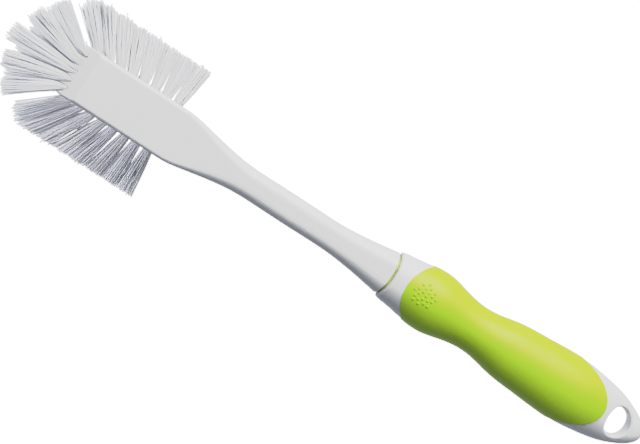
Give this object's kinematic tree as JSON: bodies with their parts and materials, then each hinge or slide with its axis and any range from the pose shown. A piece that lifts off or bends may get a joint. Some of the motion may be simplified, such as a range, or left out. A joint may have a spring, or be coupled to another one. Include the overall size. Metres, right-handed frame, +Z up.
{
  "type": "dish brush",
  "caption": "Long-handled dish brush with a flat-backed tufted head, a slim neck and a soft two-swell grip that ends in a flat tail with a hang hole.",
  "frame": {"origin": "on the floor, under the middle of the brush's box as it lies on its tufts and its grip", "axes": "+X from the nose to the tail, +Y across the brush, +Z up out of the back of the head"},
  "size_m": [0.2856, 0.0582, 0.0393],
  "materials": {
    "white_plastic": "smooth satin moulding, polypropylene",
    "lime_rubber": "soft-touch matte thermoplastic rubber",
    "bristle": "translucent white nylon filaments",
    "anchor_wire": "flat drawn wire"
  },
  "bodies": {
    "root": {"head": "white_plastic", "handle": "white_plastic", "grip": "lime_rubber", "neck_ring": "lime_rubber", "tuft_left_1": "bristle", "tuft_left_2": "bristle", "tuft_left_3": "bristle", "tuft_left_4": "bristle", "tuft_left_5": "bristle", "tuft_left_6": "bristle", "tuft_left_7": "bristle", "tuft_left_8": "bristle", "tuft_right_1": "bristle", "tuft_right_2": "bristle", "tuft_right_3": "bristle", "tuft_right_4": "bristle", "tuft_right_5": "bristle", "tuft_right_6": "bristle", "tuft_right_7": "bristle", "tuft_right_8": "bristle", "tuft_nose_upper_1": "bristle", "tuft_nose_upper_2": "bristle", "tuft_nose_upper_3": "bristle", "tuft_nose_upper_4": "bristle", "tuft_nose_upper_5": "bristle", "tuft_nose_lower_1": "bristle", "tuft_nose_lower_2": "bristle", "tuft_nose_lower_3": "bristle", "tuft_nose_lower_4": "bristle", "tuft_toe_1": "bristle", "tuft_toe_2": "bristle", "tuft_toe_3": "bristle", "tuft_keel_left_1": "bristle", "tuft_keel_left_2": "bristle", "tuft_keel_left_3": "bristle", "tuft_keel_left_4": "bristle", "tuft_keel_left_5": "bristle", "tuft_keel_left_6": "bristle", "tuft_keel_left_7": "bristle", "tuft_keel_right_1": "bristle", "tuft_keel_right_2": "bristle", "tuft_keel_right_3": "bristle", "tuft_keel_right_4": "bristle", "tuft_keel_right_5": "bristle", "tuft_keel_right_6": "bristle", "tuft_keel_right_7": "bristle", "anchors_flank_left": "anchor_wire", "anchors_flank_right": "anchor_wire", "anchors_nose": "anchor_wire", "anchors_keel": "anchor_wire"}
  },
  "joints": []
}
